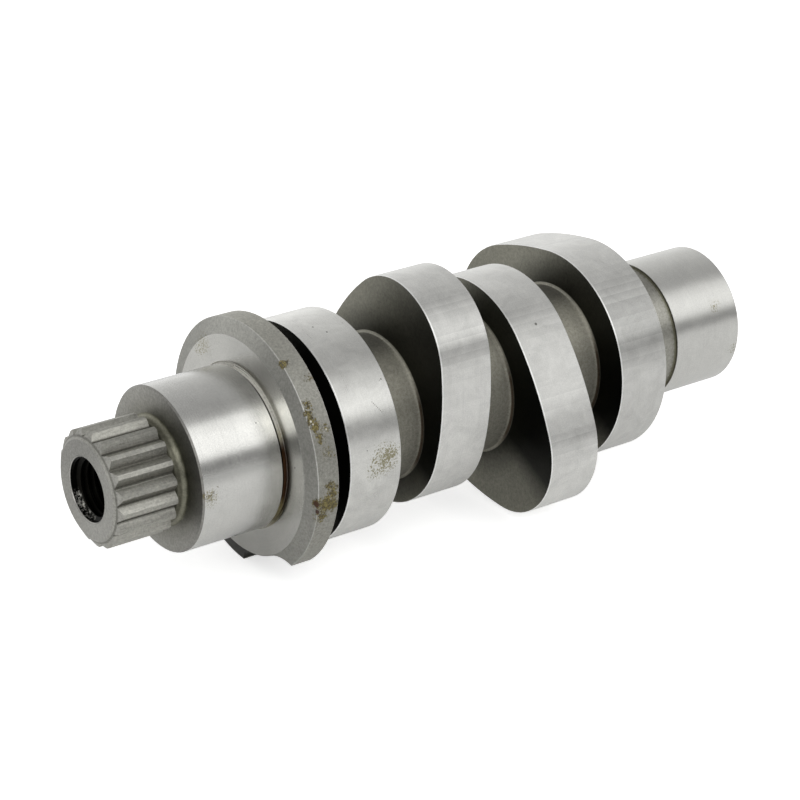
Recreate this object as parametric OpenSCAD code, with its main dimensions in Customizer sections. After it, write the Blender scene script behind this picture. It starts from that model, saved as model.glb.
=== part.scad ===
// One-piece steel camshaft with four lobes for a single-cam twin-cylinder engine.
// All sizes are in millimetres. The shaft runs along X from the splined nose to the
// inner journal, Y points away from the viewer and Z points up.
// The origin is on the shaft's axis, in the middle of the front journal.

/* [Splined nose] */
// Number of spline teeth round the nose
spline_teeth = 19; // [12:1:26]
// Module of the spline: pitch diameter divided by the number of teeth
spline_module = 1.01; // [0.9:0.01:1.05]
// Pressure angle of the spline's involute flanks in degrees
spline_pressure_angle = 45; // [37.5:0.5:45]
// Thickness of a tooth along the pitch circle
spline_tooth_thickness = 1.8; // [1.5:0.05:1.9]
// Angle of one tooth's middle round the shaft, in degrees
spline_phase = 150.15; // [0:0.05:180]
// Length of the nose from its end face to the front journal's end face
nose_length = 13.3; // [10:0.1:18]
// Length of the turned neck between the teeth and the front journal
runout_length = 2.15; // [1.5:0.05:3]
// Radius of the turned neck behind the teeth
runout_radius = 8.9; // [8.6:0.05:9]
// Radius of the fillet between the neck and the front journal's end face
runout_fillet = 0.85; // [0.3:0.05:1]
// Radius of the nose's flat end face
nose_face_radius = 8.45; // [7.5:0.05:8.8]
// Slope of the cone that bevels the front of the teeth, in degrees from the end face
nose_bevel_angle = 30; // [20:1:45]

/* [Bolt hole] */
// Radius of the bolt hole's wall, at the roots of its thread
bolt_hole_radius = 5.556; // [3:0.001:6]
// Depth of the bolt hole's straight wall from the end face
bolt_hole_depth = 30; // [15:0.5:34]
// Width of the bevel round the bolt hole's mouth
bolt_hole_bevel = 0.15; // [0.05:0.05:0.5]
// Point angle of the drilled end of the bolt hole in degrees
drill_point_angle = 118; // [90:1:140]

/* [Front journal] */
// Diameter of the front journal
front_journal_diameter = 28.575; // [26:0.005:32]
// Length of the front journal with its front bevel
front_journal_length = 15.27; // [12:0.01:20]
// Width of the bevel on the front journal's front edge
front_journal_bevel = 0.3; // [0.1:0.05:0.6]
// Width of the grinding relief between the front journal and the thrust face
relief_width = 0.93; // [0.6:0.01:1.5]
// Depth of the grinding relief below the front journal
relief_depth = 0.7; // [0.3:0.05:1.2]
// Width of the small bevel where the relief meets the thrust face
relief_rim = 0.25; // [0.1:0.05:0.4]

/* [Thrust flange] */
// Diameter of the ground thrust face
thrust_face_diameter = 38.35; // [34:0.05:40]
// Diameter of the flange's rim
flange_diameter = 44.15; // [42:0.05:48]
// Width of the flange's rim along the shaft
flange_rim_width = 4.03; // [3:0.01:6]
// Distance from the thrust face back to the rim's front edge
flange_slope_depth = 0.86; // [0.3:0.01:1.5]
// Width of the bevel on the flange's rear edge
flange_bevel = 0.1; // [0.05:0.05:0.4]
// Width of the gap between the flange and the first lobe
retainer_gap = 4.06; // [3:0.01:6]
// Height of the notch's floor above the thrust face's edge
notch_floor_height = 0.15; // [0.05:0.05:1]
// Angle of the middle of the flange's notch round the shaft, in degrees
notch_angle = -107.3; // [-180:0.1:180]
// Angle that the notch spans along the rim, in degrees
notch_span = 40.8; // [35:0.1:60]
// Radius of the milling cutter that leaves the notch's rounded ends
notch_cutter_radius = 4.5; // [2:0.1:5]

/* [Lobes] */
// Width of each lobe along the shaft
lobe_width = 10.31; // [8:0.01:12]
// Distance from the start of one lobe to the start of the next
lobe_pitch = 19.53; // [17:0.01:22]
// Width of the bevel along the lobes' edges
lobe_bevel = 0.1; // [0.05:0.05:0.5]
// Base circle radius of the first lobe
lobe_1_base = 19.58; // [18:0.01:20]
// Base circle radius of the second lobe
lobe_2_base = 17.56; // [17:0.01:20]
// Base circle radius of the third lobe
lobe_3_base = 18.69; // [18:0.01:20]
// Base circle radius of the fourth lobe
lobe_4_base = 19.53; // [18:0.01:20]
// Lift of the first lobe's nose above its base circle
lobe_1_lift = 8.2; // [7:0.01:9]
// Lift of the second lobe's nose above its base circle
lobe_2_lift = 8.12; // [7:0.01:9]
// Lift of the third lobe's nose above its base circle
lobe_3_lift = 8.07; // [7:0.01:9]
// Lift of the fourth lobe's nose above its base circle
lobe_4_lift = 8.38; // [7:0.01:9]
// Radius of the first lobe's rounded nose
lobe_1_nose = 14; // [12:0.01:16]
// Radius of the second lobe's rounded nose
lobe_2_nose = 13.98; // [12:0.01:15]
// Radius of the third lobe's rounded nose
lobe_3_nose = 13.27; // [12:0.01:15]
// Radius of the fourth lobe's rounded nose
lobe_4_nose = 16.93; // [14:0.01:17]
// Radius of the first lobe's flanks
lobe_1_flank = 50; // [42:0.1:60]
// Radius of the second lobe's flanks
lobe_2_flank = 43.4; // [42:0.1:60]
// Radius of the third lobe's flanks
lobe_3_flank = 50.75; // [45:0.05:60]
// Radius of the fourth lobe's flanks
lobe_4_flank = 67.69; // [60:0.01:80]
// Angle of the first lobe's nose round the shaft, in degrees
lobe_1_angle = -32; // [-180:0.1:180]
// Angle of the second lobe's nose round the shaft, in degrees
lobe_2_angle = 113; // [-180:0.1:180]
// Angle of the third lobe's nose round the shaft, in degrees
lobe_3_angle = 216.4; // [0:0.1:360]
// Angle of the fourth lobe's nose round the shaft, in degrees
lobe_4_angle = 1.7; // [-180:0.1:180]

/* [Core and inner journal] */
// Radius of the turned core between the lobes
core_radius = 12.8; // [11.5:0.05:13.5]
// Radius of the fillets between the core and the lobes' sides
core_fillet = 0.7; // [0.3:0.05:1]
// Length of the neck between the last lobe and the inner journal
neck_length = 8.75; // [6:0.05:12]
// Radius of the neck before the inner journal
neck_radius = 12.2; // [11:0.05:12.3]
// Diameter of the inner journal
inner_journal_diameter = 25.5; // [25.4:0.01:27]
// Length of the inner journal with its end bevel
inner_journal_length = 15.2; // [12:0.05:20]
// Width of the bevel on the inner journal's front edge
inner_front_bevel = 0.1; // [0.05:0.05:0.25]
// Width of the bevel on the inner journal's rear end
inner_end_bevel = 0.4; // [0.3:0.05:1.5]
// Radius of the mouth of the centre drilled in the shaft's rear end
centre_radius = 3.2; // [1.5:0.1:4]

/* [Hidden] */
$fn = 180;
steel = [0.62, 0.62, 0.61];
overlap = 0.05;
margin = 1;
flank_steps = 4;
root_fillet = 0.1;

function involute(a) = tan(a) - a * PI / 180;
function along(v) = v / norm(v);

// Spline sizes
pitch_radius = spline_module * spline_teeth / 2;
spline_radius = pitch_radius + spline_module / 2;
root_radius = pitch_radius - spline_module / 2;
gear_base_radius = pitch_radius * cos(spline_pressure_angle);
bevel_radius = spline_radius + margin;
bevel_length = (bevel_radius - nose_face_radius) * tan(nose_bevel_angle);

// Positions along the shaft
journal_front = -front_journal_length / 2;
journal_rear = front_journal_length / 2;
nose_end = journal_front - nose_length;
teeth_rear = journal_front - runout_length;
thrust_face = journal_rear + relief_width;
rim_front = thrust_face + flange_slope_depth;
rim_rear = rim_front + flange_rim_width;
lobes_start = rim_rear + retainer_gap;
lobes_end = lobes_start + 3 * lobe_pitch + lobe_width;
inner_front = lobes_end + neck_length;
shaft_end = inner_front + inner_journal_length;

// Radii of the turned parts
front_radius = front_journal_diameter / 2;
relief_radius = front_radius - relief_depth;
thrust_radius = thrust_face_diameter / 2;
rim_radius = flange_diameter / 2;
inner_radius = inner_journal_diameter / 2;
neck_fillet = inner_radius - neck_radius - inner_front_bevel - overlap;

// Notch in the flange's rim: the cutter's centre runs on this circle, either side of the middle,
// and its end marks stay just above the floor
notch_radius = thrust_radius + notch_floor_height;
cutter_mark = 0.02;
cutter_orbit = notch_radius + notch_cutter_radius + cutter_mark;
cutter_lead = acos((rim_radius ^ 2 + cutter_orbit ^ 2 - notch_cutter_radius ^ 2)
    / (2 * rim_radius * cutter_orbit));
cutter_swing = notch_span / 2 - cutter_lead;

// The flanks lie this little below the tangent arcs, so that they cross the base circle and the nose
flank_inset = 0.005;

lobes = [
    [lobe_1_base, lobe_1_lift, lobe_1_nose, lobe_1_flank, lobe_1_angle],
    [lobe_2_base, lobe_2_lift, lobe_2_nose, lobe_2_flank, lobe_2_angle],
    [lobe_3_base, lobe_3_lift, lobe_3_nose, lobe_3_flank, lobe_3_angle],
    [lobe_4_base, lobe_4_lift, lobe_4_nose, lobe_4_flank, lobe_4_angle]
];

// Stands a shape drawn along Z on the shaft's axis, so that the drawing's X is the shaft's Y
module on_shaft(x) translate([x, 0, 0]) rotate([90, 0, 90]) children();

// A round length of the shaft from one position to another
module turned(from, to, r) on_shaft(from) cylinder(h = to - from, r = r);

// A cone of the shaft that changes from one radius to another
module taper(from, to, r_from, r_to) on_shaft(from) cylinder(h = to - from, r1 = r_from, r2 = r_to);

// A concave fillet ring round the shaft against a shoulder; side is 1 where the shoulder is behind it
module fillet_ring(x, r, fillet, side)
    on_shaft(x)
        mirror([0, 0, side > 0 ? 1 : 0])
            rotate_extrude()
                translate([r, 0])
                    difference() {
                        translate([-overlap, -overlap]) square(fillet + overlap);
                        translate([fillet, fillet]) circle(r = fillet);
                    }

// Half of a tooth's angle at a radius, for involute flanks
function half_tooth(r) = (spline_tooth_thickness / (2 * pitch_radius)
    + involute(spline_pressure_angle) - involute(acos(gear_base_radius / r))) * 180 / PI;

// Section of one spline tooth between its involute flanks, pointing along the drawing's X
module spline_tooth() {
    flank = [for (i = [0:flank_steps])
        let (r = root_radius + root_fillet + (spline_radius + overlap - root_radius - root_fillet)
                 * i / flank_steps)
        r * [cos(half_tooth(r)), sin(half_tooth(r))]];
    foot_radius = root_radius - overlap;
    foot = foot_radius * [cos(half_tooth(foot_radius)), sin(half_tooth(foot_radius))]
        + [0, root_fillet];
    half = concat([foot], flank);
    polygon(concat([[0, 0]], half, [for (i = [len(half) - 1:-1:0]) [half[i].x, -half[i].y]]));
}

// Splined nose: teeth cut along the shaft, with their front ends bevelled by a cone
module splined_nose() color(steel) intersection() {
    union() {
        turned(nose_end, teeth_rear, root_radius);
        on_shaft(nose_end) intersection() {
            linear_extrude(teeth_rear - nose_end)
                for (i = [0:spline_teeth - 1])
                    rotate(spline_phase + i * 360 / spline_teeth) spline_tooth();
            cylinder(h = teeth_rear - nose_end, r = spline_radius);
        }
    }
    on_shaft(nose_end)
        rotate_extrude()
            polygon([[0, 0], [nose_face_radius, 0], [bevel_radius, bevel_length],
                [bevel_radius, teeth_rear - nose_end], [0, teeth_rear - nose_end]]);
}

// Turned neck behind the teeth, with a fillet into the journal's end face
module runout_neck() color(steel) {
    turned(teeth_rear - overlap, journal_front + overlap, runout_radius);
    fillet_ring(journal_front, runout_radius, runout_fillet, 1);
}

// Ground front journal with a bevelled front edge
module front_journal() color(steel) {
    taper(journal_front, journal_front + front_journal_bevel,
        front_radius - front_journal_bevel, front_radius);
    turned(journal_front + front_journal_bevel, journal_rear, front_radius);
    turned(journal_rear - overlap, rim_front, relief_radius);
}

// Thrust flange: flat ground face, sloping outer ring, rim and a milled notch
module thrust_flange() color(steel) difference() {
    union() {
        taper(thrust_face, rim_front, thrust_radius, rim_radius);
        turned(rim_front, rim_rear - flange_bevel, rim_radius);
        taper(rim_rear - flange_bevel, rim_rear, rim_radius, rim_radius - flange_bevel);
    }
    flange_notch();
    taper(thrust_face - overlap, thrust_face + relief_rim,
        front_radius + relief_rim + overlap, front_radius);
}

// Path of the milling cutter through the flange's rim
module flange_notch()
    on_shaft(thrust_face - margin)
        linear_extrude(rim_rear - thrust_face + 2 * margin)
            rotate(notch_angle) {
                difference() {
                    polygon([[0, 0],
                        2 * rim_radius * [cos(cutter_swing), -sin(cutter_swing)],
                        2 * rim_radius * [cos(cutter_swing), sin(cutter_swing)]]);
                    circle(r = notch_radius);
                }
                for (side = [-1, 1])
                    rotate(side * cutter_swing)
                        translate([cutter_orbit, 0]) circle(r = notch_cutter_radius);
            }

// A disc with both rims bevelled, centred off the shaft's axis
module bevelled_disc(centre, r) translate([centre.x, centre.y, 0]) {
    cylinder(h = lobe_bevel, r1 = r - lobe_bevel, r2 = r);
    translate([0, 0, lobe_bevel]) cylinder(h = lobe_width - 2 * lobe_bevel, r = r);
    translate([0, 0, lobe_width - lobe_bevel]) cylinder(h = lobe_bevel, r1 = r, r2 = r - lobe_bevel);
}

// One lobe: base circle, two flanks and a nose, each arc tangent to the next
module lobe(base, lift, nose, flank) {
    // The nose's centre lies on the drawing's X axis and each flank's centre beyond the shaft
    reach = base + lift - nose;
    to_axis = flank - base;
    to_nose = flank - nose;
    fx = (to_axis ^ 2 - to_nose ^ 2 + reach ^ 2) / (2 * reach);
    fy = -sqrt(to_axis ^ 2 - fx ^ 2);
    centre = [fx, fy];
    nose_centre = [reach, 0];
    base_end = -along(centre) * (base + margin);
    tip = nose_centre + along(nose_centre - centre) * (nose + margin);
    bevelled_disc([0, 0], base);
    bevelled_disc(nose_centre, nose);
    intersection() {
        bevelled_disc(centre, flank - flank_inset);
        mirror([0, 1, 0]) bevelled_disc(centre, flank - flank_inset);
        linear_extrude(lobe_width)
            polygon([[0, 0], base_end, tip, nose_centre, [tip.x, -tip.y], [base_end.x, -base_end.y]]);
    }
}

// The four lobes, in order from the flange
module cam_lobes() color(steel)
    for (i = [0:3])
        on_shaft(lobes_start + i * lobe_pitch)
            rotate(lobes[i][4]) lobe(lobes[i][0], lobes[i][1], lobes[i][2], lobes[i][3]);

// Turned core that carries the lobes, with fillets against their sides
module core() color(steel) {
    turned(rim_front, lobes_end - overlap, core_radius);
    fillet_ring(rim_rear, core_radius, core_fillet, -1);
    for (i = [0:3]) {
        fillet_ring(lobes_start + i * lobe_pitch, core_radius, core_fillet, 1);
        fillet_ring(lobes_start + i * lobe_pitch + lobe_width,
            i < 3 ? core_radius : neck_radius, core_fillet, -1);
    }
}

// Neck and ground inner journal
module inner_journal() color(steel) {
    turned(lobes_end - overlap, inner_front + overlap, neck_radius);
    fillet_ring(inner_front, neck_radius, neck_fillet, 1);
    taper(inner_front, inner_front + inner_front_bevel, inner_radius - inner_front_bevel, inner_radius);
    turned(inner_front + inner_front_bevel, shaft_end - inner_end_bevel, inner_radius);
    taper(shaft_end - inner_end_bevel, shaft_end, inner_radius, inner_radius - inner_end_bevel);
}

// Bolt hole in the nose, with a bevelled mouth and a drilled end
module bolt_hole() {
    turned(nose_end - margin, nose_end + bolt_hole_depth, bolt_hole_radius);
    taper(nose_end - overlap, nose_end + bolt_hole_bevel,
        bolt_hole_radius + bolt_hole_bevel + overlap, bolt_hole_radius);
    taper(nose_end + bolt_hole_depth, nose_end + bolt_hole_depth
        + bolt_hole_radius / tan(drill_point_angle / 2), bolt_hole_radius, 0);
}

// Lathe centre in the rear end, a 60 degree cone
module lathe_centre()
    taper(shaft_end - centre_radius / tan(30), shaft_end + overlap, 0, centre_radius + overlap * tan(30));

module camshaft() difference() {
    union() {
        splined_nose();
        runout_neck();
        front_journal();
        thrust_flange();
        core();
        cam_lobes();
        inner_journal();
    }
    bolt_hole();
    lathe_centre();
}

camshaft();
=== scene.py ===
import math

import bmesh
import bpy
from mathutils import Matrix, Vector


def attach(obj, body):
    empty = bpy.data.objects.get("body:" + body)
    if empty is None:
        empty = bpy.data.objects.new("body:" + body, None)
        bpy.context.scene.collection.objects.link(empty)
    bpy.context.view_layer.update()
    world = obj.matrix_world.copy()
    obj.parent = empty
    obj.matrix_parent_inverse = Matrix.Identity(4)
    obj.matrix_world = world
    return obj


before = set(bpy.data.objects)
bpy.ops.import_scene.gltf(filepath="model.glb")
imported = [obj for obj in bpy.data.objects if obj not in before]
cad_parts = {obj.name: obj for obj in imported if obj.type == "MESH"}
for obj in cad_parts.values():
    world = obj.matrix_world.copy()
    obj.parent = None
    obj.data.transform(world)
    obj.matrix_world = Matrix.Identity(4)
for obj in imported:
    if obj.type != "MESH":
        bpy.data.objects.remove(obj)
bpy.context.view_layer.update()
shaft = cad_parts["camshaft"]

# Lengths are in millimetres where nothing else is said, and angles in degrees
MM = 0.001
WHITE = (1, 1, 1, 1)

# Camera: its place in metres, the directions of its right side and its back, its lens and sensor,
# and its near and far limit in metres
CAMERA_PLACE = (-0.2084, -0.3431, 0.1817)
CAMERA_RIGHT = (0.80668, -0.59097, -0.00481)
CAMERA_BACK = (-0.54165, -0.74257, 0.39397)
CAMERA_LENS = 119.12
CAMERA_SENSOR = 36.0
CAMERA_NEAR, CAMERA_FAR = 0.01, 100.0

# Floor under the lowest lobe: its height and half its width in metres, the light that it scatters,
# and the light that it adds for the camera and for reflections
FLOOR_Z = -22.06 * MM
FLOOR_HALF = 3.0
FLOOR_ALBEDO = 0.9
FLOOR_GLOW = 0.62
FLOOR_SHEEN = 0.16

# Light of the studio: angle round the shaft from the far horizon over the top, and brightness
SKY = [
    (0, 1.15), (12, 0.95), (28, 0.76), (50, 0.62), (72, 0.52), (90, 0.45), (100, 0.50), (107, 0.66),
    (113, 1.25), (132, 1.48), (150, 1.42), (157, 1.20), (163, 0.40), (171, 0.28), (176, 0.38),
    (180, 0.56),
]

# Places along the shaft
NOSE_END = -20.935
TEETH_REAR = -9.785
JOURNAL_FRONT, JOURNAL_REAR = -7.635, 7.635
THRUST_FACE, RIM_FRONT, RIM_REAR = 8.565, 9.425, 13.455
LOBES_START, LOBE_PITCH, LOBE_WIDTH, LOBES_END = 17.515, 19.53, 10.31, 86.415
INNER_FRONT = 95.165

# Radii
SPLINE_ROOT, THRUST_EDGE, CORE, NECK, INNER_JOURNAL = 9.0, 19.175, 12.8, 12.2, 12.75
LEAST_RADIUS = 0.1

# A zone's edge is a pair of values between which it fades; None leaves that end of the zone open
SOFT = 0.02


def at(place, soft=SOFT):
    """A soft edge in the middle of which a place lies."""
    return (place - soft, place + soft)


OPEN = (None, None)
RIM_SURFACE = (21.9, 22.0)
FIRST_LOBE, LAST_LOBE = (None, (30.0, 31.0)), ((72.0, 73.0), None)

# A surface faces along the shaft ("side") where its slope is above this edge, and round it ("round")
# elsewhere
SIDE_SLOPE = (0.80, 0.95)

# Zones of the surface: their two edges along the shaft, their two edges outwards, the way they face
ZONES = {
    "bore": dict(x=(None, (15.0, 16.0)), r=(None, (5.70, 5.76))),
    "mouth": dict(x=(None, (NOSE_END + 0.14, NOSE_END + 0.20)), r=(at(5.48), at(5.78)), facing="round"),
    "runout": dict(x=(at(TEETH_REAR + 0.05), at(JOURNAL_FRONT + 0.02)), r=(None, (9.6, 9.8))),
    "journal_face": dict(
        x=(at(JOURNAL_FRONT - 0.1), at(JOURNAL_FRONT + 0.25)), r=((9.6, 9.8), None), facing="side"),
    "journal": dict(
        x=(at(JOURNAL_FRONT + 0.28), at(JOURNAL_REAR)), r=((13.9, 14.0), None), facing="round"),
    "groove": dict(x=(at(JOURNAL_REAR + 0.005), at(THRUST_FACE + 0.3)), r=(at(13.3), at(14.56))),
    "thrust": dict(
        x=(at(THRUST_FACE - 0.1), at(THRUST_FACE + 0.05)), r=(at(14.5), at(THRUST_EDGE)), facing="side"),
    "cone": dict(
        x=(at(THRUST_FACE + 0.01), at(RIM_FRONT + 0.02)), r=((THRUST_EDGE, THRUST_EDGE + 0.04), None),
        facing="side"),
    "rim_edge": dict(x=(at(RIM_FRONT - 0.04), at(RIM_FRONT + 0.06)), r=((21.86, 21.94), None)),
    "rim": dict(x=(at(RIM_FRONT - 0.02), at(RIM_REAR + 0.05)), r=(RIM_SURFACE, None), facing="round"),
    "notch": dict(
        x=(at(THRUST_FACE + 0.02), at(RIM_REAR + 0.05)), r=(at(19.2), at(21.85)), facing="round"),
    "retainer_gap": dict(x=(at(RIM_REAR - 0.02), at(LOBES_START + 0.02)), r=(None, RIM_SURFACE)),
    "lobe_side": dict(x=(at(13.3), at(LOBES_END + 0.5)), r=((12.95, 13.3), None), facing="side"),
    "lobes": dict(
        x=(at(LOBES_START - 0.1), at(LOBES_END + 0.1)), r=((15.5, 16.0), None), facing="round"),
    "core": dict(x=(at(13.5), at(LOBES_END + 0.6)), r=(None, (13.5, 13.6))),
    "fillet": dict(
        x=(at(RIM_REAR + 0.5), at(LOBES_END + 1.0)), r=(at(CORE + 0.16, 0.05), at(CORE + 0.60, 0.05))),
    "neck": dict(x=(at(LOBES_END + 0.05), at(INNER_FRONT)), r=(None, (12.8, 13.4))),
    "neck_corner": dict(x=(at(INNER_FRONT - 0.75), at(INNER_FRONT)), r=(at(NECK), at(INNER_JOURNAL))),
    "inner_edge": dict(x=(at(INNER_FRONT - 0.02), at(INNER_FRONT + 0.16)), r=((12.62, 12.66), None)),
    "inner": dict(x=((95.2, 95.25), None), r=((12.60, 12.64), None), facing="round"),
}

# Edges of the zones that lay_zones adds to these: the rear of the splined nose, the groove's wall,
# a lobe's faces and front edge from the lobe's start, the bevels by place and slope, the near flanks
# of the teeth by place and part of a turn, the parts of a turn by which those below and above a tooth
# lean away from their place, and the level of the pores painted as highlights in the hole's mouth
NOSE_REAR = (TEETH_REAR + 0.05, TEETH_REAR + 0.15)
GROOVE_WALL = (THRUST_FACE + 0.12, THRUST_FACE + 0.18)
LOBE_FACE = (at(-0.005, 0.01), at(LOBE_WIDTH + 0.005, 0.01))
LOBE_EDGE = (0.12, 0.28)
BEVEL = dict(x=((RIM_FRONT, RIM_FRONT + 1.0), None), r=((15.0, 15.2), None))
BEVEL_SLOPE = (at(0.40, 0.06), at(0.88, 0.06))
FLANKS = dict(x=(at(NOSE_END + 0.6), at(TEETH_REAR)), facing="round")
NEAR_FLANKS = (at(0.2, 0.03), at(0.67, 0.03))
FLANK_BELOW, FLANK_ABOVE = (at(-0.30), at(-0.06)), (at(0.06), at(0.30))
GLINT_PORES = (0.50, 0.58)

# Spans of the turn: angle from the near side, up positive, and strength
JOURNAL_GLARE = [(16.2, 0.0), (21.6, 1.0), (55.8, 1.0), (72.0, 0.0)]
NEAR_GAP = [(-72.0, 0.0), (-50.4, 1.0), (93.6, 1.0), (122.4, 0.0)]
NEAR_GROOVE = [(-180, 0.0), (-50.4, 0.0), (-28.8, 1.0), (10.8, 1.0), (28.8, 0.25), (57.6, 0.0)]
UPPER_GROOVE = [(21.6, 0.0), (30.6, 1.0), (90.0, 1.0), (108.0, 0.0)]
GROOVE_OIL = [
    (-180, 0.0), (-61.2, 0.0), (-46.8, 0.7), (-21.6, 1.0), (16.2, 1.0), (23.4, 0.6), (36.0, 0.0)]
GROOVE_GLINT = [(-36.0, 0.0), (-14.4, 0.35), (14.4, 0.35), (28.8, 1.0), (90.0, 1.0), (108.0, 0.0)]
FILLET_OIL = [(-180, 0.0), (-50.4, 0.2), (-28.8, 0.92), (18.0, 0.92), (39.6, 0.1), (72.0, 0.0)]
RIM_LIGHT = [(-72.0, 0.25), (-21.6, 0.35), (0.0, 0.62), (57.6, 0.62), (86.4, 0.22)]
MOUTH_LIGHT = [(-162.0, 0.0), (-147.6, 1.0), (-104.4, 1.0), (-82.8, 0.0)]

# Tones that are used more than once (painted shade lines and highlights among them), and those of
# the oil in the groove by angle
BARE_STEEL = (0.29, 0.285, 0.265)
GROUND_STEEL = (0.71, 0.708, 0.68)
PAINTED_HIGHLIGHT = (1.0, 0.99, 0.95)
PAINTED_SHADE_BLACK = (0.012, 0.010, 0.006)
DARK_ROOT = (0.05, 0.048, 0.036)
BRIGHT_EDGE = (0.86, 0.86, 0.83)
OIL_TONES = [
    (-30.6, (0.32, 0.27, 0.11)), (-19.8, (0.10, 0.052, 0.022)), (7.2, (0.11, 0.054, 0.022)),
    (19.8, (0.08, 0.042, 0.014)), (27.0, (0.34, 0.29, 0.09)),
]

# Roughness and metal of the steel where no coat says otherwise
STEEL_ROUGH, STEEL_METAL = 0.44, 1.0
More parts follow.
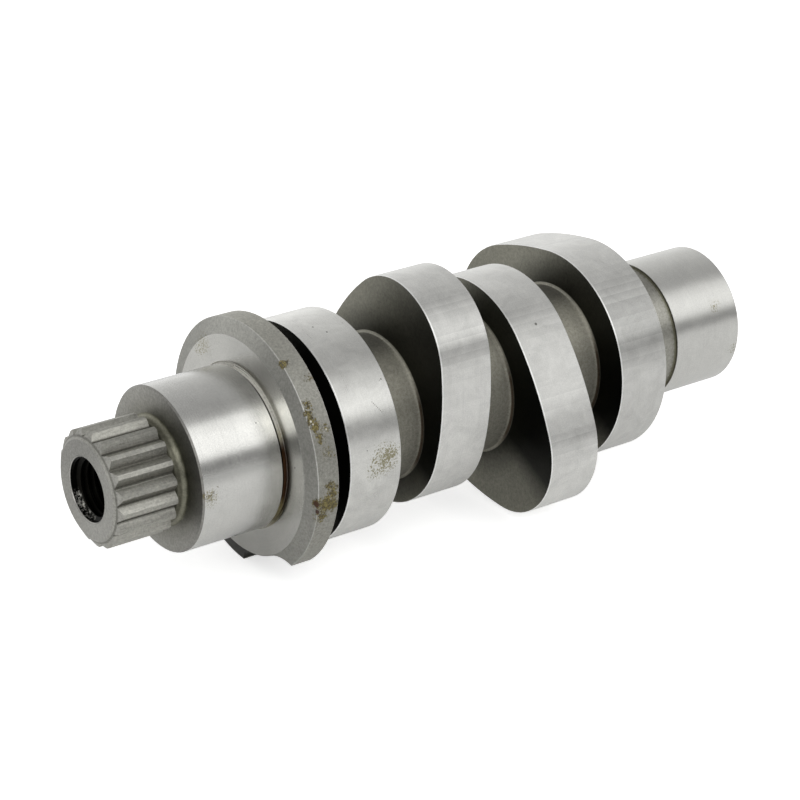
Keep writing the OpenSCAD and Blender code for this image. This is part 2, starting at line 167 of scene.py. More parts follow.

# Coats of the surface, one over the other: the zone, what is covered of it (edges along the shaft and
# outwards, the way it faces, a span of the turn, a share), the tone, its painted light and shade as a
# brightness by the angle of the place ("turn") or of the surface ("lean"), the roughness and the share
# of metal
COATS = [
    # Base tones of the zones, most with painted light and shade by angle
    dict(zone="nose", tone=(0.415, 0.41, 0.37), rough=0.50, metal=0.9),
    dict(zone="nose", facing="side", tone=(0.42, 0.415, 0.385), rough=0.56, metal=0.8, painted_shading=[
        (-180, 0.80), (-75, 0.98), (0, 0.92), (60, 0.80), (110, 0.70), (180, 0.80)]),
    dict(zone="runout", tone=(0.25, 0.245, 0.19), rough=0.42),
    dict(zone="lobe_face", tone=GROUND_STEEL, rough=0.34, metal=0.78, angle="lean", painted_shading=[
        (-180, 1.0), (-6, 1.0), (2, 0.93), (8, 0.83), (11, 0.76), (14, 0.77), (18, 0.89), (22, 0.96),
        (25, 0.92), (29, 0.77), (32, 0.72), (38, 0.70), (41, 0.65), (44, 0.67), (49, 0.75), (57, 0.94),
        (70, 1.05), (180, 1.08)]),
    dict(zone="lobe_face", x=LAST_LOBE, tone=GROUND_STEEL, rough=0.33, metal=0.84, angle="lean", painted_shading=[
        (-180, 0.85), (4, 0.85), (12, 0.74), (17, 0.88), (21, 0.75), (25, 0.63), (32, 0.59), (37, 0.51),
        (43, 0.50), (47, 0.62), (51, 0.76), (57, 0.92), (70, 1.08), (180, 1.08)]),
    dict(zone="lobe_face", x=FIRST_LOBE, tone=(0.68, 0.678, 0.648), rough=0.30, metal=1.0, painted_shading=[
        (-180, 1.0), (4, 0.98), (10, 0.89), (14, 0.86), (18, 0.97), (21.5, 1.04), (24.5, 0.95),
        (27.5, 0.95), (31, 0.88), (35, 0.77), (40, 0.66), (47.5, 0.64), (51.5, 0.80), (55.5, 0.98),
        (60, 1.08), (75, 1.18), (180, 1.18)]),
    dict(zone="journal", tone=(0.66, 0.658, 0.63), rough=0.22, painted_shading=[
        (-180, 0.95), (3, 0.97), (6.5, 0.90), (9, 0.78), (11.5, 0.69), (14, 0.77), (17, 1.0), (50, 1.0),
        (75, 0.93), (180, 0.93)]),
    # Painted highlight: a bright band along the journal's upper part
    dict(zone="journal", x=((0.5, 7.0), None), span=JOURNAL_GLARE, share=0.8,
         tone=(0.90, 0.895, 0.855)),
    dict(zone="inner", tone=(0.62, 0.618, 0.59), rough=0.32, metal=1.0, painted_shading=[
        (-180, 1.0), (14, 0.98), (21, 0.92), (27, 0.90), (44, 0.90), (52, 1.02), (80, 1.16),
        (180, 1.05)]),
    dict(zone="thrust", tone=(0.66, 0.656, 0.618), rough=0.22, painted_shading=[
        (-180, 0.78), (-112, 0.7), (-67, 0.62), (-17, 0.80), (0, 0.90), (12, 0.84), (23, 0.54),
        (30, 0.90), (39, 1.15), (50, 0.85), (62, 0.64), (75, 0.64), (90, 0.70), (105, 0.80),
        (140, 0.85), (180, 0.80)]),
    dict(zone="cone", tone=(0.33, 0.328, 0.303), rough=0.56, painted_shading=[
        (-180, 1.2), (-125, 1.0), (-112, 0.25), (-84, 0.15), (-78, 1.0), (-30, 1.08), (20, 0.86),
        (42, 0.80), (62, 0.98), (80, 1.36), (105, 1.38), (125, 1.15), (180, 1.1)]),
    dict(zone="rim", tone=(0.363, 0.359, 0.325), rough=0.66, painted_shading=[
        (-180, 1.15), (-60, 1.18), (0, 1.06), (35, 1.0), (60, 1.35), (80, 1.5), (180, 1.15)]),
    # Painted shade: the notch nearly black
    dict(zone="notch", tone=(0.04, 0.04, 0.032), rough=0.5),
    dict(zone="lobe_side", tone=(0.165, 0.162, 0.134), rough=0.40, painted_shading=[
        (-180, 1.4), (-60, 1.4), (-41, 1.15), (-28, 0.13), (-15, 0.04), (5, 0.03), (32, 0.12),
        (50, 0.34), (63, 0.68), (91, 1.2), (120, 1.45), (180, 1.4)]),
    dict(zone="core", tone=(0.375, 0.363, 0.305), rough=0.58, metal=0.75, painted_shading=[
        (-180, 0.9), (-60, 0.65), (-30, 0.68), (2, 0.82), (42, 1.15), (60, 1.12), (78, 0.45),
        (100, 0.35), (180, 0.9)]),
    dict(zone="neck", tone=(0.36, 0.354, 0.316), rough=0.44),
    dict(zone="journal_face", tone=(0.30, 0.295, 0.27), rough=0.44, painted_shading=[
        (-180, 1.1), (-60, 1.05), (-36, 0.9), (-14, 0.48), (12, 0.36), (30, 0.36), (55, 0.55),
        (80, 0.85), (110, 1.1), (180, 1.1)]),
    # Painted shade: the bolt hole and its thread nearly black
    dict(zone="bore", tone=(0.010, 0.0095, 0.008), rough=0.4),

    # Painted shade in the corners, at the teeth's roots and lower flanks, and behind the flange
    dict(zone="lobe_side", r=(None, (13.4, 18.5)), share=0.75, tone=(0.012, 0.012, 0.007)),
    dict(zone="journal_face", r=(None, (9.9, 13.2)), share=0.45, tone=(0.055, 0.054, 0.022)),
    dict(zone="runout", x=(None, (TEETH_REAR + 0.35, TEETH_REAR + 0.75)), share=0.8,
         tone=(0.03, 0.03, 0.02)),
    dict(zone="runout", r=((9.25, 9.6), None), share=0.6, tone=(0.06, 0.06, 0.03)),
    dict(zone="nose", facing="round", share=0.85, tone=DARK_ROOT,
         r=((SPLINE_ROOT - 0.2, SPLINE_ROOT - 0.1), (SPLINE_ROOT + 0.08, SPLINE_ROOT + 0.28))),
    dict(zone="flank_below", share=0.45, tone=DARK_ROOT),
    # Painted light on the upper flanks of the teeth
    dict(zone="flank_above", share=0.15, tone=(0.60, 0.59, 0.54)),
    dict(zone="retainer_gap", span=NEAR_GAP, share=0.8, tone=(0.008, 0.008, 0.006)),

    # Relief groove behind the journal: painted shade on the thrust face beside it, the floor, its
    # hidden side painted light for the thrust face to mirror, the oil on its lower part, the painted
    # highlight and painted shade line of its wall, and the painted shade line of its floor
    dict(zone="thrust", r=(None, (14.9, 17.2)), span=NEAR_GROOVE, share=0.32,
         tone=(0.12, 0.115, 0.075)),
    dict(zone="thrust", r=(None, (14.55, 15.0)), span=NEAR_GROOVE, share=0.85,
         tone=(0.02, 0.015, 0.008)),
    dict(zone="groove", tone=(0.74, 0.728, 0.675), rough=0.42, metal=0.15),
    dict(zone="groove", x=(None, (JOURNAL_REAR + 0.34, JOURNAL_REAR + 0.40)), span=UPPER_GROOVE,
         tone=(1.0, 0.985, 0.92), rough=0.42),
    dict(zone="groove", span=GROOVE_OIL, tone=OIL_TONES, rough=0.40, metal=0.8),
    dict(zone="groove_wall", r=(at(13.74), at(14.0)), span=GROOVE_GLINT, tone=PAINTED_HIGHLIGHT, rough=0.30,
         metal=0.5),
    dict(zone="groove_wall", r=(at(13.90), at(14.14)), span=UPPER_GROOVE, tone=PAINTED_HIGHLIGHT, rough=0.22,
         metal=1.0),
    dict(zone="groove_wall", r=(at(13.98), at(14.30)), span=NEAR_GROOVE, share=0.9, tone=PAINTED_SHADE_BLACK,
         rough=0.5, metal=1.0),
    dict(zone="groove", x=(at(JOURNAL_REAR + 0.40, 0.03), at(JOURNAL_REAR + 0.69, 0.03)), share=0.95,
         tone=PAINTED_SHADE_BLACK, rough=0.5, metal=1.0),

    # Fillets beside the lobes: painted highlight above, oily below; painted shade in the neck's corner
    dict(zone="fillet", share=0.60, tone=(0.64, 0.625, 0.53)),
    dict(zone="fillet", span=FILLET_OIL, tone=(0.045, 0.024, 0.009)),
    dict(zone="neck_corner", share=0.7, tone=(0.09, 0.085, 0.035)),

    # Painted highlights on the edges, the hole's mouth and the thread near it
    dict(zone="bevel", tone=BRIGHT_EDGE, rough=0.34),
    dict(zone="inner_edge", share=0.5, tone=BRIGHT_EDGE, rough=0.34),
    dict(zone="lobe_edge", share=0.85, tone=(0.95, 0.95, 0.93), rough=0.40),
    dict(zone="rim_edge", span=RIM_LIGHT, tone=(0.80, 0.80, 0.77), rough=0.45),
    dict(zone="mouth", share=0.7, tone=(0.62, 0.61, 0.57), rough=0.34),
    dict(zone="glints", x=(at(NOSE_END + 0.3, 0.15), at(NOSE_END + 1.3, 0.15)), span=MOUTH_LIGHT,
         tone=(0.75, 0.74, 0.68)),
]

# How far the textures move the tone, the roughness and the relief. The tone moves about its level, and
# the patches move it less off the lobes
TONE_LEVEL = 0.96
TONE_SWING = dict(fine=0.20, blotch=0.14, grain=0.55, patch=0.50, drawn=0.75, pores=1.1)
PATCH_OFF_LOBES, PATCH_MORE_ON_LOBES = 0.40, 0.60
ROUGH_SWING = dict(patch=0.12, fine=0.08)
RELIEF = dict(fine=1.6, coarse=0.8, grain=2.4, rust=2.5, pores=5.0)
RELIEF_HEIGHT = 0.0024 * MM

# How much of the metal rust takes away, and how rough it and the specks make the surface
RUST_DULLS, RUST_ROUGHENS, SPECKS_ROUGHEN = 0.85, 0.3, 0.6

# Highlights drawn out round the shaft
ANISOTROPY, ANISOTROPY_TURN = 0.7, 0.25

# Marks of the stains: x, y, z, reach, strength. A mark fades out at MARK_FADE times its reach
MARK_FADE = 1.6
RUST = [
    (9.79, -12.15, 18.43, 1.0, 0.8),
    (10.36, -17.72, 13.16, 0.8, 0.7), (10.08, -18.66, 11.8, 1.0, 0.8), (10.2, -19.26, 10.79, 1.0, 0.8),
    (10.5, -19.82, 9.71, 1.1, 0.8), (10.9, -20.6, 7.94, 0.9, 0.7), (12.35, -20.12, 9.08, 0.9, 0.7),
    (12.6, -14.9, 16.3, 0.9, 0.45), (11.79, -21.39, 5.44, 1.5, 0.38),
    (11.7, -22.07, -0.2, 1.2, 0.62), (12.4, -22.03, -1.46, 1.1, 0.7), (10.9, -21.84, -3.22, 1.7, 0.95),
    (11.9, -21.77, -3.65, 1.6, 0.9), (10.4, -21.37, -5.52, 1.3, 0.75), (9.1, -21.6, -3.1, 1.0, 0.9),
    (-6.44, -14.29, 0.23, 1.5, 0.42),
]
RUST_TONES = [
    (0.38, (0.020, 0.013, 0.002)), (0.46, (0.075, 0.056, 0.008)), (0.55, (0.16, 0.125, 0.022)),
    (0.68, (0.30, 0.25, 0.08)),
]
SPECKS = [
    (24.4, -19.4, 0.2, 3.2, 0.62), (25.6, -19.56, 0.9, 2.2, 0.66), (22.5, -19.43, -1.4, 2.0, 0.5),
    (105.26, -11.25, 5.99, 1.6, 0.46), (109.19, -12.42, -2.9, 1.4, 0.4), (-6.2, -14.2, -0.6, 1.8, 0.45),
    (8.565, 10.4, 14.9, 2.6, 0.46), (8.565, 11.9, 13.6, 2.0, 0.42),
]
BURNT = [(9.05, -21.5, -3.0, 0.75, 1.0), (9.3, -21.6, -4.4, 0.6, 0.8)]
CHIPS = [(10.0, -19.3, 10.7, 0.22, 1.0), (10.25, -19.5, 10.2, 0.2, 0.9), (12.4, -20.1, 9.0, 0.2, 0.9)]
DOTS = [
    (4.75, -11.12, 8.97, 0.14, 1.0), (8.565, -16.52, 1.87, 0.2, 1.0), (21.53, -3.37, 19.29, 0.2, 1.0),
    (22.84, -5.55, 18.78, 0.2, 1.0), (61.52, -13.04, 13.39, 0.32, 1.0), (57.6, -16.07, 9.55, 0.22, 0.9),
    (26.96, -15.1, 12.47, 0.22, 0.8), (26.6, -15.2, 12.4, 0.16, 0.7), (23.2, -19.5, 2.2, 0.2, 0.8),
    (21.0, -19.4, 2.6, 0.16, 0.8), (5.2, -13.6, 4.3, 0.12, 0.7), (-15.5, -9.9, -1.6, 0.14, 0.7),
    (8.565, -17.6, -3.9, 0.16, 0.7), (10.7, -21.5, 2.4, 0.16, 0.6),
]

# Scratch on the first lobe: a row of dots between two places, with the reach and strength of a dot
SCRATCH_FROM, SCRATCH_TO, SCRATCH_DOTS = (23.77, -16.96, 9.79), (25.11, -17.89, 7.97), 8
SCRATCH_DOT = (0.13, 0.8)

# Thread of the bolt hole: its ridge's section as (place along the shaft, share of the height). At both
# ends it rises from its least height and width, over a turn divided by its ease
THREAD_PITCH, THREAD_ROOT, THREAD_CREST = 1.27, 5.575, 4.92
THREAD_FROM, THREAD_TURNS, THREAD_STEPS = -20.35, 17, 96
THREAD_SECTION = ((-0.555, 0.0), (-0.16, 1.0), (0.16, 1.0), (0.555, 0.0))
THREAD_LEAST_HEIGHT, THREAD_LEAST_WIDTH, THREAD_EASE = 0.04, 0.3, 2.0

# Sockets of the Mix node: its factor, and for a number and for a colour the two inputs and the output
MIX_FACTOR, MIX_NUMBERS, MIX_COLORS = 0, (2, 3, 0), (6, 7, 2)


def make_camera():
    data = bpy.data.cameras.new("camera")
    cam = bpy.data.objects.new("camera", data)
    bpy.context.scene.collection.objects.link(cam)
    x = Vector(CAMERA_RIGHT).normalized()
    z = Vector(CAMERA_BACK).normalized()
    y = z.cross(x).normalized()
    x = y.cross(z)
    place = Matrix((x, y, z)).transposed().to_4x4()
    place.translation = Vector(CAMERA_PLACE)
    cam.matrix_world = place
    data.sensor_fit = "HORIZONTAL"
    data.sensor_width = CAMERA_SENSOR
    data.lens = CAMERA_LENS
    data.clip_start = CAMERA_NEAR
    data.clip_end = CAMERA_FAR
    bpy.context.scene.camera = cam


class Tree:
    """Short ways to build a node tree. Values may be numbers or sockets."""

    def __init__(self, tree):
        self.t = tree
        self.t.nodes.clear()

    def node(self, kind, **values):
        n = self.t.nodes.new(kind)
        for k, v in values.items():
            setattr(n, k, v)
        return n

    def link(self, a, b):
        self.t.links.new(a, b)

    def put(self, socket, value):
        if hasattr(value, "links"):
            self.link(value, socket)
        else:
            socket.default_value = value

    def math(self, op, a, b=None, clamp=False):
        n = self.node("ShaderNodeMath", operation=op, use_clamp=clamp)
        self.put(n.inputs[0], a)
        if b is not None:
            self.put(n.inputs[1], b)
        return n.outputs[0]

    def mul(self, *values):
        out = values[0]
        for v in values[1:]:
            out = self.math("MULTIPLY", out, v)
        return out

    def add(self, *values):
        out = values[0]
        for v in values[1:]:
            out = self.math("ADD", out, v)
        return out

    def inv(self, v):
        return self.math("SUBTRACT", 1.0, v)

    def centred(self, v, size):
        return self.mul(self.math("SUBTRACT", v, 0.5), size)

    def step(self, v, low, high):
        """0 below low, 1 above high."""
        n = self.node("ShaderNodeMapRange", clamp=True)
        self.put(n.inputs["Value"], v)
        n.inputs["From Min"].default_value = low
        n.inputs["From Max"].default_value = high
        return n.outputs[0]

    def ramp(self, fac, stops):
        """A number or a colour that goes with a value."""
        n = self.node("ShaderNodeValToRGB")
        els = n.color_ramp.elements
        while len(els) < len(stops):
            els.new(0.5)
        for e, (p, c) in zip(els, stops):
            e.position = p
        for e, (p, c) in zip(els, stops):
            e.color = (*c, 1) if hasattr(c, "__len__") else (c, c, c, 1)
        self.put(n.inputs[0], fac)
        return n.outputs[0]

    def mix(self, fac, a, b):
        n = self.node("ShaderNodeMix", data_type="FLOAT")
        first, second, out = MIX_NUMBERS
        self.put(n.inputs[MIX_FACTOR], fac)
        self.put(n.inputs[first], a)
        self.put(n.inputs[second], b)
        return n.outputs[out]

    def mix_color(self, fac, a, b, blend="MIX"):
        n = self.node("ShaderNodeMix", data_type="RGBA", blend_type=blend)
        first, second, out = MIX_COLORS
        self.put(n.inputs[MIX_FACTOR], fac)
        self.put(n.inputs[first], (*a, 1) if isinstance(a, tuple) else a)
        self.put(n.inputs[second], (*b, 1) if isinstance(b, tuple) else b)
        return n.outputs[out]

    def combine(self, kind, *values):
        n = self.node(kind)
        for socket, v in zip(n.inputs, values):
            self.link(v, socket)
        return n.outputs[0]


def make_world():
    world = bpy.data.worlds.new("studio")
    bpy.context.scene.world = world
    world.use_nodes = True
    t = Tree(world.node_tree)
    coords = t.node("ShaderNodeTexCoord")
    sep = t.node("ShaderNodeSeparateXYZ")
    t.link(coords.outputs["Generated"], sep.inputs[0])
    _, y, z = sep.outputs
    angle = t.math("ARCTAN2", z, y)
    part = t.math("DIVIDE", t.math("ABSOLUTE", angle), math.pi, clamp=True)
    sky = t.ramp(part, [(a / 180, v) for a, v in SKY])
    light = t.node("ShaderNodeBackground")
    t.link(sky, light.inputs["Color"])
    white = t.node("ShaderNodeBackground")
    white.inputs["Color"].default_value = WHITE
    path = t.node("ShaderNodeLightPath")
    mix = t.node("ShaderNodeMixShader")
    t.link(path.outputs["Is Camera Ray"], mix.inputs[0])
    t.link(light.outputs[0], mix.inputs[1])
    t.link(white.outputs[0], mix.inputs[2])
    out = t.node("ShaderNodeOutputWorld")
    t.link(mix.outputs[0], out.inputs["Surface"])


def make_floor():
    h = FLOOR_HALF
    mesh = bpy.data.meshes.new("floor")
    corners = [(-h, -h, FLOOR_Z), (h, -h, FLOOR_Z), (h, h, FLOOR_Z), (-h, h, FLOOR_Z)]
    mesh.from_pydata(corners, [], [(0, 1, 2, 3)])
    floor = bpy.data.objects.new("floor", mesh)
    bpy.context.scene.collection.objects.link(floor)
    mat = bpy.data.materials.new("floor")
    mat.use_nodes = True
    t = Tree(mat.node_tree)
    diffuse = t.node("ShaderNodeBsdfDiffuse")
    diffuse.inputs["Color"].default_value = (FLOOR_ALBEDO, FLOOR_ALBEDO, FLOOR_ALBEDO, 1)
    glow = t.node("ShaderNodeEmission")
    glow.inputs["Color"].default_value = WHITE
    path = t.node("ShaderNodeLightPath")
    strength = t.add(t.mul(path.outputs["Is Camera Ray"], FLOOR_GLOW),
                     t.mul(path.outputs["Is Glossy Ray"], FLOOR_SHEEN))
    t.link(strength, glow.inputs["Strength"])
    both = t.node("ShaderNodeAddShader")
    t.link(diffuse.outputs[0], both.inputs[0])
    t.link(glow.outputs[0], both.inputs[1])
    out = t.node("ShaderNodeOutputMaterial")
    t.link(both.outputs[0], out.inputs["Surface"])
    mesh.materials.append(mat)


class Shaft(Tree):
    """A node tree that knows a point's place on the shaft and takes coats zone by zone."""

    def __init__(self, tree):
        super().__init__(tree)
        coords = self.node("ShaderNodeTexCoord")
        scale = self.node("ShaderNodeVectorMath", operation="SCALE")
        self.link(coords.outputs["Object"], scale.inputs[0])
        scale.inputs["Scale"].default_value = 1.0 / MM
        self.point = scale.outputs[0]
        sep = self.node("ShaderNodeSeparateXYZ")
        self.link(self.point, sep.inputs[0])
        self.x, self.y, self.z = sep.outputs
        self.r = self.math("SQRT", self.add(self.mul(self.y, self.y), self.mul(self.z, self.z)))
        far = self.math("MAXIMUM", self.r, LEAST_RADIUS)
        self.cos = self.math("DIVIDE", self.y, far)
        self.sin = self.math("DIVIDE", self.z, far)
        geo = self.node("ShaderNodeNewGeometry")
        normal = self.node("ShaderNodeSeparateXYZ")
        self.link(geo.outputs["True Normal"], normal.inputs[0])
        normal_x, normal_y, normal_z = normal.outputs
        self.angles = dict(turn=self.part_of_turn(self.y, self.z),
                           lean=self.part_of_turn(normal_y, normal_z))
        self.slope = self.math("ABSOLUTE", normal_x)
        side = self.step(self.slope, *SIDE_SLOPE)
        self.facing = dict(side=side, round=self.inv(side))
        self.zones, self.textures = {}, {}
        self.color = self.mix_color(0.0, BARE_STEEL, BARE_STEEL)
        self.rough = self.mix(0.0, STEEL_ROUGH, STEEL_ROUGH)
        self.metal = self.mix(0.0, STEEL_METAL, STEEL_METAL)

    def part_of_turn(self, y, z):
        """The angle of a direction as a part of a turn: 0.5 at the near side, more above it."""
        angle = self.math("ARCTAN2", z, self.mul(y, -1.0))
        return self.add(self.math("DIVIDE", angle, 2 * math.pi), 0.5)

    def by_angle(self, stops, angle="turn"):
        """A number or a colour that goes with an angle in degrees from the near side, up positive."""
        return self.ramp(self.angles[angle], [(a / 360 + 0.5, v) for a, v in stops])

    def within(self, v, low, high):
        """The factors of a mask that is 1 between two edges, of which either may be open."""
        factors = [self.step(v, *low)] if low else []
        return factors + ([self.inv(self.step(v, *high))] if high else [])

    def cut(self, x=OPEN, r=OPEN, facing=None):
        """The factors of a mask from edges along the shaft and outwards, and the way it faces."""
        factors = self.within(self.x, *x) + self.within(self.r, *r)
        return factors + ([self.facing[facing]] if facing else [])

    def coat(self, zone, tone, x=OPEN, r=OPEN, facing=None, span=None, share=None, painted_shading=None,
             angle="turn", rough=None, metal=None):
        """Covers a zone, or what is left of it between the edges, with a tone; the brightness stops by
        angle paint light and shade on it.
        """
        factors = [self.zones[zone]] + self.cut(x, r, facing)
        if span:
            factors.append(self.by_angle(span))
        if share:
            factors.append(share)
        mask = self.mul(*factors)
        if painted_shading:
            tone = [(a, tuple(c * f for c in tone)) for a, f in painted_shading]
        if isinstance(tone, list):
            tone = self.by_angle(tone, angle)
        self.glaze(mask, tone)
        if rough is not None:
            self.rough = self.mix(mask, self.rough, rough)
        if metal is not None:
            self.metal = self.mix(mask, self.metal, metal)

    def glaze(self, mask, tone):
        """Mixes in a tone where the mask, which may be partial, covers."""
        self.color = self.mix_color(mask, self.color, tone)

    def around(self, along, turn):
        """Coordinates that vary along the shaft, or out along a side face, and round it."""
        place = self.mix(self.facing["side"], self.x, self.r)
        return self.combine("ShaderNodeCombineXYZ", self.mul(place, along), self.mul(self.cos, turn),
                            self.mul(self.sin, turn))

    def along(self, slow, fast):
        """Coordinates that vary slowly along the shaft and fast across it."""
        return self.combine("ShaderNodeCombineXYZ", self.mul(self.x, slow), self.mul(self.y, fast),
                            self.mul(self.z, fast))

    def noise_node(self, vector, scale, detail, rough=0.5, warp=0.0):
        n = self.node("ShaderNodeTexNoise")
        self.link(vector, n.inputs["Vector"])
        n.inputs["Scale"].default_value = scale
        n.inputs["Detail"].default_value = detail
        n.inputs["Roughness"].default_value = rough
        n.inputs["Distortion"].default_value = warp
        return n

    def noise(self, vector, scale=1.0, detail=3.0, rough=0.5, warp=0.0):
        return self.noise_node(vector, scale, detail, rough, warp).outputs["Fac"]

    def warped(self, scale, size, detail=3.0):
        """The point moved about by noise, so that marks laid with it come out ragged."""
        noise = self.noise_node(self.point, scale, detail)
        move = self.node("ShaderNodeVectorMath", operation="MULTIPLY_ADD")
        self.link(noise.outputs["Color"], move.inputs[0])
        move.inputs[1].default_value = (size, size, size)
        self.link(self.point, move.inputs[2])
        centre = self.node("ShaderNodeVectorMath", operation="SUBTRACT")
        self.link(move.outputs[0], centre.inputs[0])
        centre.inputs[1].default_value = (size / 2, size / 2, size / 2)
        return centre.outputs[0]

    def marks(self, places, point=None):
        """The strongest of a list of marks at a point, each fading out from its middle."""
        total = None
        for x, y, z, reach, strength in places:
            d = self.node("ShaderNodeVectorMath", operation="DISTANCE")
            self.link(point or self.point, d.inputs[0])
            d.inputs[1].default_value = (x, y, z)
            n = self.node("ShaderNodeMapRange", clamp=True, interpolation_type="SMOOTHSTEP")
            self.link(d.outputs["Value"], n.inputs["Value"])
            n.inputs["From Min"].default_value = 0.0
            n.inputs["From Max"].default_value = reach * MARK_FADE
            n.inputs["To Min"].default_value = strength
            n.inputs["To Max"].default_value = 0.0
            total = n.outputs[0] if total is None else self.math("MAXIMUM", total, n.outputs[0])
        return total

    def stain(self, field, tone, share, edge, limit=None, noise=None, swing=None):
        """Paints a tone where marks, made ragged by a noise, pass an edge; returns the mask."""
        ragged = self.add(field, self.centred(noise, swing)) if noise else field
        mask = self.step(ragged, *edge)
        if limit:
            mask = self.mul(mask, self.step(field, *limit))
        self.glaze(self.mul(mask, share), tone)
        return mask


def lay_textures(t):
    t.textures = dict(
        fine=t.noise(t.around(along=8.0, turn=0.8), rough=0.65),
        coarse=t.noise(t.around(along=1.4, turn=0.9), detail=2.0),
        blotch=t.noise(t.around(along=0.16, turn=3.2), rough=0.6),
        grain=t.noise(t.point, scale=6.0, detail=2.0, rough=0.8),
        patch=t.noise(t.point, scale=0.24, detail=5.0, rough=0.62, warp=1.2),
        pores=t.noise(t.point, scale=2.2, detail=4.0, rough=0.7),
        drawn=t.noise(t.along(slow=0.4, fast=3.6), rough=0.7),
    )


def lay_zones(t):
    z = t.zones
    for name, edges in ZONES.items():
        z[name] = t.mul(*t.cut(**edges))
    z["nose"] = t.mul(t.inv(t.step(t.x, *NOSE_REAR)), t.inv(z["bore"]))
    lobe_x = t.math("FLOORED_MODULO", t.math("SUBTRACT", t.x, LOBES_START), LOBE_PITCH)
    z["lobe_face"] = t.mul(z["lobes"], *t.within(lobe_x, *LOBE_FACE))
    z["lobe_edge"] = t.mul(z["lobe_face"], t.inv(t.step(lobe_x, *LOBE_EDGE)))
    z["groove_wall"] = t.mul(z["groove"], t.step(t.x, *GROOVE_WALL))
    z["bevel"] = t.mul(*t.cut(**BEVEL), *t.within(t.slope, *BEVEL_SLOPE))
    flank = t.mul(z["nose"], *t.cut(**FLANKS), *t.within(t.angles["turn"], *NEAR_FLANKS))
    tilt = t.math("SUBTRACT", t.angles["lean"], t.angles["turn"])
    z["flank_below"] = t.mul(flank, *t.within(tilt, *FLANK_BELOW))
    z["flank_above"] = t.mul(flank, *t.within(tilt, *FLANK_ABOVE))
    z["glints"] = t.mul(z["bore"], t.step(t.textures["pores"], *GLINT_PORES))
    z["ground"] = t.math("ADD", t.add(z["lobe_face"], z["journal"], z["inner"]), z["thrust"], clamp=True)
    z["turned"] = t.inv(z["ground"])


def vary_tone(t):
    swing = {name: t.centred(t.textures[name], size) for name, size in TONE_SWING.items()}
    nose_round = t.mul(t.zones["nose"], t.facing["round"])
    patches = t.add(PATCH_OFF_LOBES, t.mul(t.zones["lobe_face"], PATCH_MORE_ON_LOBES))
    tone = t.add(1.0, swing["fine"], swing["blotch"], swing["grain"], t.mul(swing["patch"], patches),
                 t.mul(nose_round, swing["drawn"]), t.mul(t.zones["turned"], swing["pores"]))
    level = t.mul(tone, TONE_LEVEL)
    grey = t.combine("ShaderNodeCombineColor", level, level, level)
    t.color = t.mix_color(1.0, t.color, grey, "MULTIPLY")


def lay_stains(t):
    """Paints the stains, and returns the masks of the rust and of the specks."""
    rust = t.stain(
        t.marks(RUST, t.warped(scale=1.3, size=2.6)), share=0.9, edge=(0.26, 0.50), limit=(0.03, 0.15),
        noise=t.noise(t.point, scale=2.8, detail=5.0, rough=0.8), swing=2.0,
        tone=t.ramp(t.noise(t.point, scale=3.2, rough=0.7), RUST_TONES))
    specks = t.stain(
        t.marks(SPECKS), share=0.75, edge=(0.42, 0.62), limit=(0.05, 0.25),
        noise=t.noise(t.point, scale=3.4, rough=0.7), swing=2.6, tone=(0.19, 0.165, 0.045))
    t.stain(t.marks(BURNT), share=0.9, edge=(0.35, 0.55), noise=t.textures["grain"], swing=0.8,
            tone=(0.055, 0.018, 0.009))
    start, end = Vector(SCRATCH_FROM), Vector(SCRATCH_TO)
    scratch = [(*start.lerp(end, i / (SCRATCH_DOTS - 1)), *SCRATCH_DOT) for i in range(SCRATCH_DOTS)]
    t.stain(t.marks(DOTS + scratch), share=0.8, edge=(0.3, 0.7), tone=(0.06, 0.06, 0.05))
    t.stain(t.marks(CHIPS), share=0.6, edge=(0.3, 0.6), tone=(0.88, 0.87, 0.82))
    return rust, specks


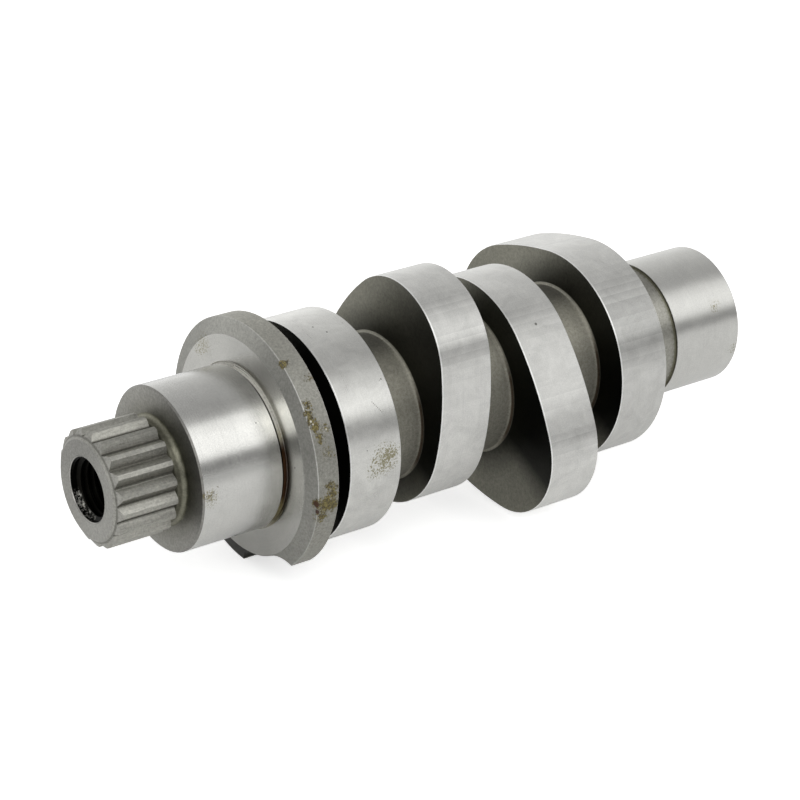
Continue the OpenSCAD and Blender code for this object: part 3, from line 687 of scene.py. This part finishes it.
def steel_material():
    mat = bpy.data.materials.new("steel")
    mat.use_nodes = True
    t = Shaft(mat.node_tree)
    lay_textures(t)
    lay_zones(t)
    for coat in COATS:
        t.coat(**coat)
    vary_tone(t)
    rust, specks = lay_stains(t)

    rough = t.add(t.rough, *(t.centred(t.textures[name], size) for name, size in ROUGH_SWING.items()))
    stained = t.math("MAXIMUM", rust, t.mul(specks, SPECKS_ROUGHEN))
    rough = t.math("ADD", rough, t.mul(stained, RUST_ROUGHENS), clamp=True)

    # Relief of the tool marks, the pores and the rust
    surfaces = dict(t.textures, rust=rust, pores=t.mul(t.zones["turned"], t.textures["pores"]))
    height = t.add(*(t.mul(surfaces[name], size) for name, size in RELIEF.items()))
    bump = t.node("ShaderNodeBump")
    bump.inputs["Strength"].default_value = 1.0
    bump.inputs["Distance"].default_value = RELIEF_HEIGHT
    t.link(height, bump.inputs["Height"])

    bsdf = t.node("ShaderNodeBsdfPrincipled")
    t.link(t.color, bsdf.inputs["Base Color"])
    t.link(t.mul(t.metal, t.inv(t.mul(rust, RUST_DULLS))), bsdf.inputs["Metallic"])
    t.link(rough, bsdf.inputs["Roughness"])
    t.link(bump.outputs[0], bsdf.inputs["Normal"])
    bsdf.inputs["Anisotropic"].default_value = ANISOTROPY
    bsdf.inputs["Anisotropic Rotation"].default_value = ANISOTROPY_TURN
    tangent = t.node("ShaderNodeTangent", direction_type="RADIAL", axis="X")
    t.link(tangent.outputs[0], bsdf.inputs["Tangent"])
    out = t.node("ShaderNodeOutputMaterial")
    t.link(bsdf.outputs[0], out.inputs["Surface"])
    return mat


def make_thread(mat):
    """Ridge of the bolt hole's thread, swept along its helix and run out at both ends."""
    steps, corners = THREAD_TURNS * THREAD_STEPS, len(THREAD_SECTION)
    verts, faces = [], []
    for i in range(steps + 1):
        a = 2 * math.pi * i / THREAD_STEPS
        ease = min(1.0, THREAD_LEAST_HEIGHT + THREAD_EASE * min(i, steps - i) / THREAD_STEPS)
        width = THREAD_LEAST_WIDTH + (1 - THREAD_LEAST_WIDTH) * ease
        for along, height in THREAD_SECTION:
            r = THREAD_ROOT - (THREAD_ROOT - THREAD_CREST) * height * ease
            x = THREAD_FROM + THREAD_PITCH * i / THREAD_STEPS + along * width
            verts.append((x * MM, r * math.cos(a) * MM, r * math.sin(a) * MM))
    for i in range(steps):
        for k in range(corners):
            a, b = corners * i + k, corners * i + (k + 1) % corners
            faces.append((a, b, b + corners, a + corners))
    faces.append(tuple(-k % corners for k in range(corners)))
    faces.append(tuple(corners * steps + k for k in range(corners)))
    mesh = bpy.data.meshes.new("bolt_thread")
    mesh.from_pydata(verts, [], faces)
    mesh.validate()
    piece = bpy.data.objects.new("bolt_thread", mesh)
    bpy.context.scene.collection.objects.link(piece)
    bm = bmesh.new()
    bm.from_mesh(mesh)
    bmesh.ops.recalc_face_normals(bm, faces=bm.faces)
    bm.to_mesh(mesh)
    bm.free()
    mesh.materials.append(mat)
    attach(piece, "root")


make_camera()
make_world()
make_floor()
steel = steel_material()
shaft.data.materials[0] = steel
make_thread(steel)

bpy.context.scene.view_settings.view_transform = "Standard"
